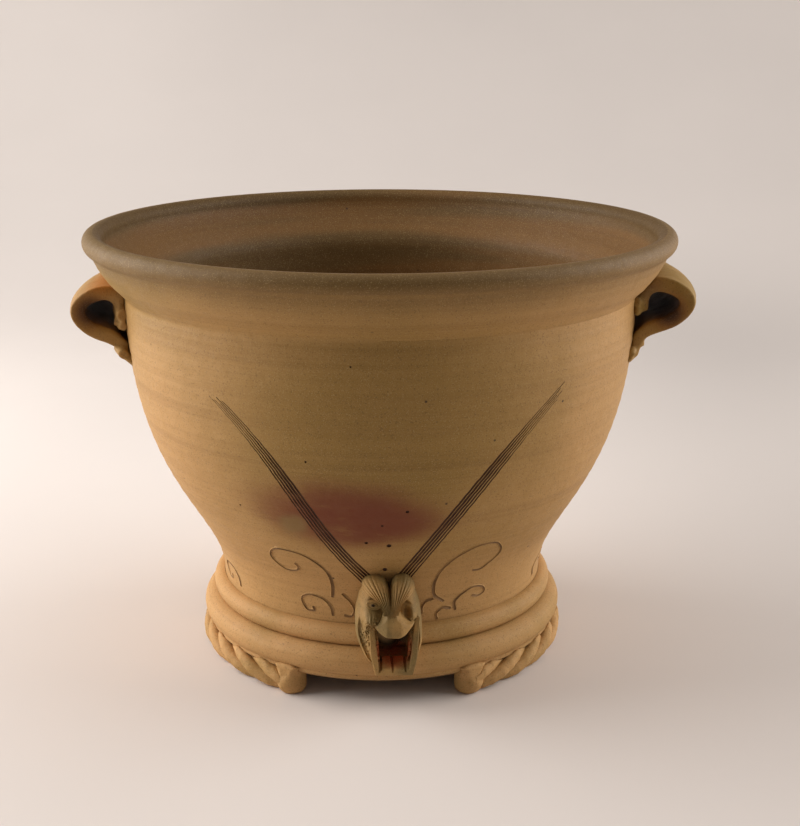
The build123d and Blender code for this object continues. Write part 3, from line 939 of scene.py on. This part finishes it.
def on_mask(turn, across, up, out):
    """Points from mm across the mask, up and out from the bowl's axis."""
    return MM * np.column_stack((
        out * math.sin(turn) + across * math.cos(turn),
        across * math.sin(turn) - out * math.cos(turn),
        up + 0 * out,
    ))


def hill(x, z, middle, reach):
    return np.exp(-(((x - middle[0]) / reach[0]) ** 2) - ((z - middle[1]) / reach[1]) ** 2)


def ease(x):
    x = np.clip(x, 0, 1)
    return x * x * (3 - 2 * x)


def crumbs(x, z, size, seed):
    return np.array([noise.noise((a / size, b / size, seed)) for a, b in zip(x, z)])


def pillow(name, columns, rows, place, turn, back):
    """A grid shaped by place(u, v) into the front of a lump, then drawn back to one depth behind it."""
    bpy.ops.object.select_all(action="DESELECT")
    bpy.ops.mesh.primitive_grid_add(x_subdivisions=columns, y_subdivisions=rows, size=1)
    obj = bpy.context.object
    obj.name = obj.data.name = name
    mesh = obj.data
    co = np.empty(3 * len(mesh.vertices))
    mesh.vertices.foreach_get("co", co)
    u, v = co.reshape(-1, 3)[:, 0] + 0.5, co.reshape(-1, 3)[:, 1] + 0.5
    mesh.vertices.foreach_set("co", on_mask(turn, *place(u, v)).ravel())
    edit_all()
    bpy.ops.mesh.remove_doubles(threshold=1e-6)
    bpy.ops.mesh.extrude_region_move(TRANSFORM_OT_translate={"value": (0, 1 * MM, 0)})
    bpy.ops.object.mode_set(mode="OBJECT")
    way = Vector((math.sin(turn), -math.cos(turn), 0))
    for vertex in mesh.vertices:
        if vertex.select:
            vertex.co += way * (back * MM - vertex.co.dot(way))
    tidy_mesh(obj, 1e-6)
    smooth(obj, 60)
    return obj


def fan_out(outline, centre, u, v):
    """Across and up for u round the outline and v from the centre, with the way left to the edge."""
    line = run_through(outline, 500)
    edge = np.column_stack([np.interp(u, np.linspace(0, 1, len(line)), line[:, n]) for n in range(2)])
    spoke = edge - np.array(centre)
    place = np.array(centre) + spoke * v[:, None]
    return place[:, 0], place[:, 1], (1 - v) * np.linalg.norm(spoke, axis=1)


def face_front(u, v):
    """The face behind the features: cheeks, socket, fold, thin outer ridge and the torn clay inside it."""
    x, z, edge = fan_out(FACE_OUTLINE, FACE_CENTRE, u, v)
    upper = ease((z - 60) / 10)
    lower = ease((72 - z) / 8)
    out = FACE_OUT + 2.4 * upper - 7.0 * upper * (1 - ease(edge / 9)) ** 2
    out += 2.2 * np.exp(-(((edge - 1.8) / 0.9) ** 2)) * lower * (0.8 + 0.5 * crumbs(x, z, 4.0, 3.0))
    torn = ease((edge - 2.6) / 1.2) * lower
    out += torn * (3.0 * np.maximum(0, crumbs(x, z, 2.6, 7.0)) + 1.6 * crumbs(x, z, 1.1, 9.0) + 0.2)
    out += 5.2 * ease((edge - 2.0) / 6) * lower
    out += 6.5 * hill(x, z, (-10.5, 67.0), (7.5, 6.5)) + 5.5 * hill(x, z, (17.0, 70.0), (4.0, 6.0))
    out -= 1.0 * hill(x, z, (-8.8, 77.0), (4.6, 3.0)) + 4.0 * hill(x, z, (12.4, 69.0), (1.8, 2.4))
    out -= 2.6 * np.exp(-(((z - 76.0 + 0.4 * (x - 10.9)) / 0.9) ** 2)) * np.exp(-(((x - 11) / 4) ** 2))
    for lump in ((-2.0, 29.5), (3.0, 29.0), (8.0, 29.6)):
        out += 1.8 * hill(x, z, lump, (2.0, 1.8))
    out += 0.5 * crumbs(x, z, 5.0, 1.0) - 3.0 * (1 - np.clip(edge / 1.5, 0, 1)) ** 2
    return x, z, out


def muzzle_front(u, v):
    """A blunt muzzle of three planes, rounded under into the lip."""
    x, z, edge = fan_out(MUZZLE_OUTLINE, MUZZLE_CENTRE, u, v)
    out = MUZZLE_OUT + 7.5 * ease((80 - z) / 18)
    side = np.abs(x - MUZZLE_CENTRE[0]) - 4.0
    out -= 0.72 * np.where(side > 0, np.sqrt(side**2 + 0.6) - 0.77, 0)
    out -= 6.0 * (1 - np.clip(edge / 3.0, 0, 1)) ** 2.2
    return x, z, out + 0.25 * crumbs(x, z, 4.0, 5.0)


def brow_front(crest, foot, flutes):
    """A heavy brow combed into flutes that run together at the bridge."""

    def place(u, v):
        top = run_through(crest, 200)
        over = np.column_stack([np.interp(u, np.linspace(0, 1, 200), top[:, n]) for n in range(2)])
        under = np.column_stack([foot[0][n] + (foot[1][n] - foot[0][n]) * u for n in range(2)])
        spot = under + (over - under) * v[:, None]
        inward = 4 * v * (1 - v) * (1 - u) ** 1.5
        x = spot[:, 0] + np.sign(foot[1][0] - foot[0][0]) * 1.4 * inward
        z = spot[:, 1] + 2.4 * inward
        out = BROW_OUT - 9.5 * v + 3.0 * np.sin(np.pi * np.clip(v, 0, 1)) ** 0.9 - 6.5 * v**8
        out -= 6.5 * (1 - u) ** 3 * ease(v / 0.35) + 1.2 * u**8 * ease((v - 0.65) / 0.3)
        comb = np.abs(np.sin(np.pi * flutes * u)) ** 0.7 - 0.55
        out += 1.2 * comb * ease(v / 0.25) * (1 - 0.6 * v**6) + 0.45 * comb
        return x, z, out

    return place


def ringed_eye(turn):
    """The left eye: a lid all round a ball with its pupil pressed in."""
    bpy.ops.object.select_all(action="DESELECT")
    bpy.ops.mesh.primitive_torus_add(
        major_segments=40, minor_segments=14, major_radius=3.3, minor_radius=0.95,
        rotation=(math.pi / 2, 0, 0),
    )
    lid = bpy.context.object
    bpy.ops.object.transform_apply(location=False, rotation=True, scale=False)
    pupil = ball((0, -1.9, 0), (0.95, 1.6, 0.95))
    eye = joined("eye", [lid, ball((0, 0.2, 0), (2.9, 1.7, 2.9))])
    apply_modifier(eye, "REMESH", mode="VOXEL", voxel_size=0.22)
    carve(eye, pupil)
    co = np.array([v.co for v in eye.data.vertices])
    x, z = co[:, 0] * 1.2, co[:, 2] * 0.78
    across = EYE_CENTRE[0] + x * math.cos(EYE_TILT) - z * math.sin(EYE_TILT)
    up = EYE_CENTRE[1] + x * math.sin(EYE_TILT) + z * math.cos(EYE_TILT)
    eye.data.vertices.foreach_set("co", on_mask(turn, across, up, EYE_OUT - co[:, 1]).ravel())
    eye.data.update()
    tidy_mesh(eye, 1e-6)
    smooth(eye, 50)
    return eye


def mouth_cutter(turn):
    """A prism of the mouth's outline, right through the face."""
    outline = np.array(MOUTH_OUTLINE)
    bpy.ops.object.select_all(action="DESELECT")
    bpy.ops.mesh.primitive_circle_add(vertices=len(outline), radius=1, fill_type="NGON")
    obj = bpy.context.object
    front = on_mask(turn, outline[:, 0], outline[:, 1], np.full(len(outline), MOUTH_OUT))
    obj.data.vertices.foreach_set("co", front.ravel())
    edit_all()
    back = (-MOUTH_DEPTH * math.sin(turn), MOUTH_DEPTH * math.cos(turn), 0)
    bpy.ops.mesh.extrude_region_move(TRANSFORM_OT_translate={"value": back})
    bpy.ops.object.mode_set(mode="OBJECT")
    tidy_mesh(obj, 1e-7)
    return obj


def scoop_slot(turn, throat, lip):
    """A thin flat ball that slits the floor of the scoop from its throat to its lip."""
    obj = ball((0, 0, 0), (1, 1, 1))
    co = np.array([v.co for v in obj.data.vertices])
    share = (co[:, 1] + 1) / 2
    across = throat[0] + (lip[0] - throat[0]) * share + (0.8 + 0.3 * share) * co[:, 0]
    up = throat[1] + (lip[1] - throat[1]) * share + 2.4 * co[:, 2]
    obj.data.vertices.foreach_set("co", on_mask(turn, across, up, 120.0 + 27.0 * share).ravel())
    obj.data.update()
    tidy_mesh(obj, 1e-7)
    return obj


class PLANTER_OT_mask(bpy.types.Operator):
    """Models the mask that drains the bowl"""

    bl_idname = "planter.mask"
    bl_label = "Mask"

    def execute(self, context):
        clay = mask_clay(context.scene.planter_colours)
        turn = context.scene.planter_sizes.mask_turn
        face = pillow("mask_face", 230, 76, face_front, turn, FACE_BACK)
        carve(face, mouth_cutter(turn))
        smooth(face, 50)
        finished(face, "mask_clay", clay, "mask_slab")
        muzzle = pillow("muzzle", 120, 40, muzzle_front, turn, MUZZLE_BACK)
        finished(muzzle, "mask_clay", clay, "mask_muzzle")
        for side, (crest, foot) in BROWS.items():
            brow = pillow(f"{side}_brow", 108, 36, brow_front(crest, foot, FLUTES), turn, BROW_BACK)
            finished(brow, "mask_clay", clay, f"mask_{side}_brow")
        finished(ringed_eye(turn), "mask_clay", clay, "mask_left_eye")
        jaw = softened("mask_jaw", "jaw", 0.4 * MM, 5, 0.5 * MM, 0.15 * MM)
        for material in (clay, groove_clay(context.scene.planter_colours)):
            jaw.data.materials.append(material)
        for slot in SLOTS:
            carve(jaw, coloured(scoop_slot(turn, *slot), jaw, 1))
        finished(jaw, "mask_clay", clay, "mask_jaw")
        return {"FINISHED"}


# The sweep of floor and backdrop, in metres
SWEEP_FRONT, SWEEP_FLAT, SWEEP_BEND = -2.6, 3.6, 1.8
SWEEP_RUN = 8.2
SWEEP_WIDTH = 10.0

# Each lamp's place, what it is aimed at, its width and height, and its power's name and share
LAMPS = {
    "left_lamp": ((-1.25, 0.12, 0.66), (0, 0, 0.15), (1.3, 1.3), "left_lamp", 1.0),
    "right_lamp": ((1.25, 0.16, 0.66), (0, 0, 0.15), (1.3, 1.3), "right_lamp", 1.0),
    "top_lamp": ((0.0, 0.1, 1.7), (0, 0, 0.15), (1.6, 1.6), "top_lamp", 1.0),
    "back_left_lamp": ((-1.3, 1.5, 1.3), (-0.9, 2.6, 0.3), (1.4, 0.8), "back_lamp", 0.62),
    "back_right_lamp": ((1.3, 1.5, 1.3), (0.9, 2.6, 0.3), (1.4, 0.8), "back_lamp", 0.38),
}
LAMP_COLOUR = (1.0, 0.975, 0.945)
SKY_COLOUR = (1.0, 0.97, 0.94, 1)

# The camera of the photograph
CAMERA_PLACE = (0.0133, -0.9589, 0.4362)
CAMERA_DIP = 0.2774
CAMERA_LENS = 61.0
CAMERA_SENSOR = 36.0


class PLANTER_OT_stage(bpy.types.Operator):
    """Sweeps the floor up into a backdrop and sets the lamps and the camera"""

    bl_idname = "planter.stage"
    bl_label = "Stage"

    def execute(self, context):
        look = context.scene.planter_stage
        bpy.ops.object.select_all(action="DESELECT")
        bpy.ops.mesh.primitive_grid_add(x_subdivisions=2, y_subdivisions=60, size=1)
        floor = bpy.context.object
        floor.name = floor.data.name = "sweep"
        arc = SWEEP_BEND * math.pi / 2
        for v in floor.data.vertices:
            run = (v.co.y + 0.5) * SWEEP_RUN
            turn = np.clip((run - SWEEP_FLAT) / SWEEP_BEND, 0, math.pi / 2)
            v.co = (
                v.co.x * SWEEP_WIDTH,
                SWEEP_FRONT + min(run, SWEEP_FLAT) + SWEEP_BEND * math.sin(turn),
                SWEEP_BEND * (1 - math.cos(turn)) + max(0.0, run - SWEEP_FLAT - arc),
            )
        bpy.ops.object.shade_smooth()
        glaze = Glaze("paper")
        colour = glaze.blend(glaze.between(glaze.noise(2.0), 0.3, 0.7), look.floor, Vector(look.floor) * 0.97)
        across = glaze.add("ShaderNodeSeparateXYZ", _0=glaze.place)
        along = glaze.add("ShaderNodeSeparateXYZ", output=1, _0=glaze.place)
        shade = glaze.maths("MULTIPLY", glaze.between(across, 0.0, 0.5), glaze.between(along, 1.6, 0.8))
        shade = glaze.maths("MULTIPLY", shade, glaze.between(along, -0.7, 0.3))
        colour = glaze.blend(shade, colour, Vector(look.floor) * 0.70)
        glaze.tree.links.new(colour, glaze.shader.inputs["Base Color"])
        glaze.shader.inputs["Roughness"].default_value = 0.7
        floor.data.materials.append(glaze.material)
        for name, (place, aim, size, power, share) in LAMPS.items():
            lamp = bpy.data.lights.new(name, "AREA")
            lamp.shape = "RECTANGLE"
            lamp.size, lamp.size_y = size
            lamp.energy = getattr(look, power) * share
            lamp.color = LAMP_COLOUR
            obj = bpy.data.objects.new(name, lamp)
            obj.location = place
            obj.rotation_euler = (Vector(aim) - Vector(place)).to_track_quat("-Z", "Y").to_euler()
            bpy.context.collection.objects.link(obj)
        world = bpy.data.worlds.new("room")
        context.scene.world = world
        world.use_nodes = True
        world.node_tree.nodes["Background"].inputs["Color"].default_value = SKY_COLOUR
        world.node_tree.nodes["Background"].inputs["Strength"].default_value = look.sky
        camera = bpy.data.cameras.new("camera")
        camera.lens = CAMERA_LENS
        camera.sensor_width = CAMERA_SENSOR
        eye = bpy.data.objects.new("camera", camera)
        eye.location = CAMERA_PLACE
        eye.rotation_euler = (math.pi / 2 - CAMERA_DIP, 0, 0)
        bpy.context.collection.objects.link(eye)
        context.scene.camera = eye
        context.scene.view_settings.view_transform = "Standard"
        return {"FINISHED"}


class PLANTER_PT_panel(bpy.types.Panel):
    bl_idname = "PLANTER_PT_panel"
    bl_label = "Planter"
    bl_space_type = "VIEW_3D"
    bl_region_type = "UI"
    bl_category = "Planter"

    def draw(self, context):
        for operator in OPERATORS:
            self.layout.operator(operator.bl_idname)


OPERATORS = (
    PLANTER_OT_bowl,
    PLANTER_OT_rings,
    PLANTER_OT_handles,
    PLANTER_OT_feet,
    PLANTER_OT_mask,
    PLANTER_OT_stage,
)
GROUPS = {"planter_sizes": PlanterSizes, "planter_colours": PlanterColours, "planter_stage": PlanterStage}


def register():
    for name, group in GROUPS.items():
        bpy.utils.register_class(group)
        setattr(bpy.types.Scene, name, PointerProperty(type=group))
    for operator in OPERATORS:
        bpy.utils.register_class(operator)
    bpy.utils.register_class(PLANTER_PT_panel)


def unregister():
    bpy.utils.unregister_class(PLANTER_PT_panel)
    for operator in reversed(OPERATORS):
        bpy.utils.unregister_class(operator)
    for name, group in GROUPS.items():
        delattr(bpy.types.Scene, name)
        bpy.utils.unregister_class(group)


def main():
    register()
    bpy.ops.planter.bowl()
    bpy.ops.planter.rings()
    bpy.ops.planter.handles()
    bpy.ops.planter.feet()
    bpy.ops.planter.mask()
    bpy.ops.planter.stage()


if __name__ == "__main__":
    main()
